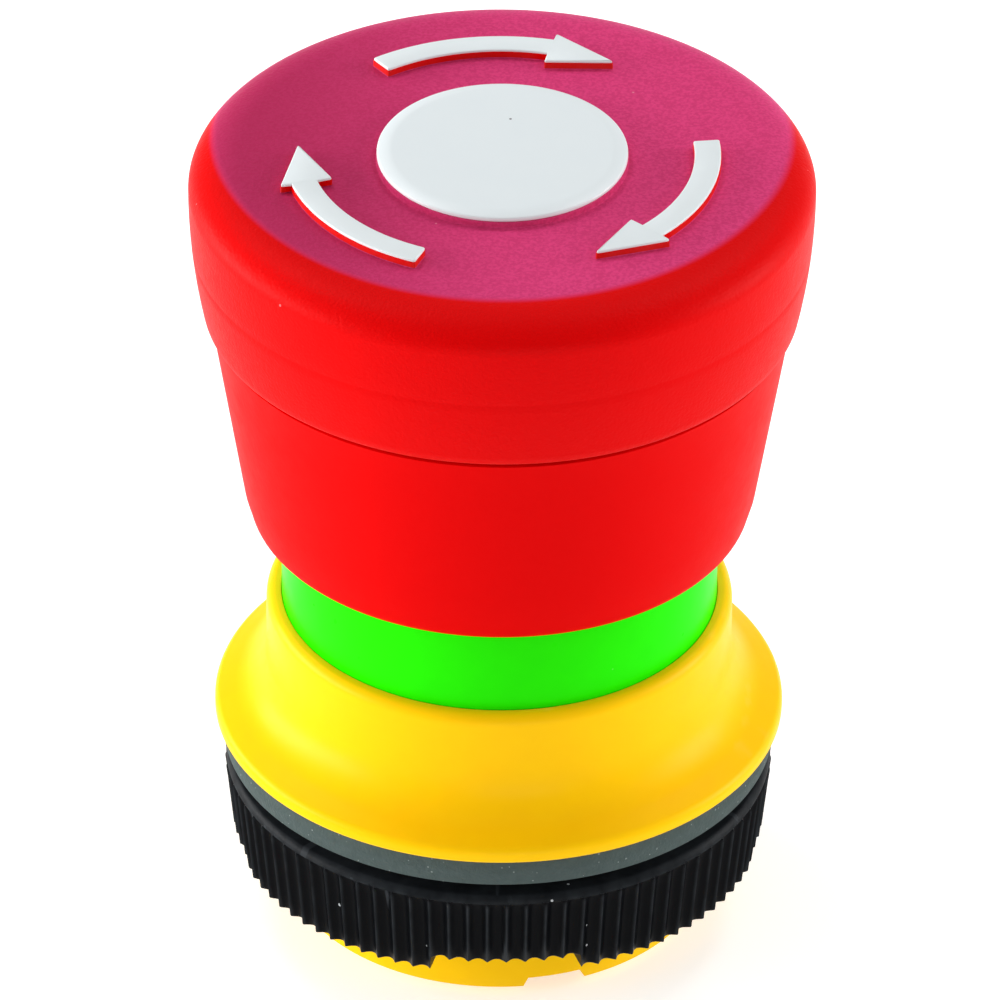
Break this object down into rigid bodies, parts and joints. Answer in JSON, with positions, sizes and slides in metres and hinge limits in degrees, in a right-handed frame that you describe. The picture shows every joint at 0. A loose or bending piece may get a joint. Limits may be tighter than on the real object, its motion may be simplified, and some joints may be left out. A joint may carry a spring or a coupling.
{
  "type": "emergency stop button",
  "caption": "Turn-to-release mushroom push-button actuator with red palm head, green position sleeve, yellow bezel, panel gasket and ribbed ring nut.",
  "frame": {"origin": "centre of the gasket's underside, where it meets the face of the panel", "axes": "+Z along the press axis, out of the panel towards the operator; -Y towards the front"},
  "size_m": [0.032, 0.032, 0.0447],
  "materials": {
    "head_red": "fine grained",
    "arrow_white": "satin",
    "disc_white": "gloss",
    "dark_nylon": "matt",
    "steel": "turned",
    "sleeve_green": "gloss",
    "natural_nylon": "matt",
    "spring_steel": "drawn wire",
    "yellow_plastic": "satin",
    "gasket_grey": "matt",
    "seal_rubber": "matt",
    "nut_black": "satin"
  },
  "bodies": {
    "housing": {"bezel": "yellow_plastic", "panel_gasket": "gasket_grey", "rear_body": "yellow_plastic", "guide_bush": "natural_nylon", "stem_seal": "seal_rubber", "return_spring": "spring_steel", "latch_carrier": "dark_nylon", "carrier_ring": "spring_steel", "latch_spring_left": "spring_steel", "latch_spring_right": "spring_steel"},
    "plunger": {"stem": "steel", "indicator_sleeve": "sleeve_green", "thrust_washer": "natural_nylon", "stem_clip": "spring_steel", "turn_spring": "spring_steel", "pusher": "yellow_plastic", "pusher_clip": "spring_steel"},
    "head": {"head_cap": "head_red", "arrow_inlays": "arrow_white", "centre_disc": "disc_white", "head_skirt": "head_red", "head_hub": "dark_nylon"},
    "pawl_left": {"latch_pawl_left": "steel"},
    "pawl_right": {"latch_pawl_right": "steel"},
    "ring_nut": {"fixing_nut": "nut_black"}
  },
  "joints": [
    {"name": "head_press", "type": "slide", "parent": "housing", "child": "plunger", "axis": [0, 0, 1], "range_m": [-0.0045, 0], "stiffness_N_per_m": 1200, "springref_m": 0.004, "deforming": ["return_spring"]},
    {"name": "head_turn", "type": "hinge", "parent": "plunger", "child": "head", "pos_m": [0, 0, 0.03], "axis": [0, 0, 1], "range_deg": [-40, 0], "stiffness_Nm_per_rad": 0.01, "springref_deg": 17.19},
    {"name": "pawl_left_slide", "type": "slide", "parent": "housing", "child": "pawl_left", "axis": [-1, 0, 0], "range_m": [-0.0008, 0]},
    {"name": "pawl_right_slide", "type": "slide", "parent": "housing", "child": "pawl_right", "axis": [1, 0, 0], "range_m": [-0.0008, 0]},
    {"name": "nut_travel", "type": "slide", "parent": "housing", "child": "ring_nut", "axis": [0, 0, 1], "range_m": [-0.0105, 0]}
  ],
  "couplings": [
    {"joint": "pawl_left_slide", "follows": "head_press", "ratio": 0.1777},
    {"joint": "pawl_right_slide", "follows": "head_press", "ratio": 0.1777}
  ]
}
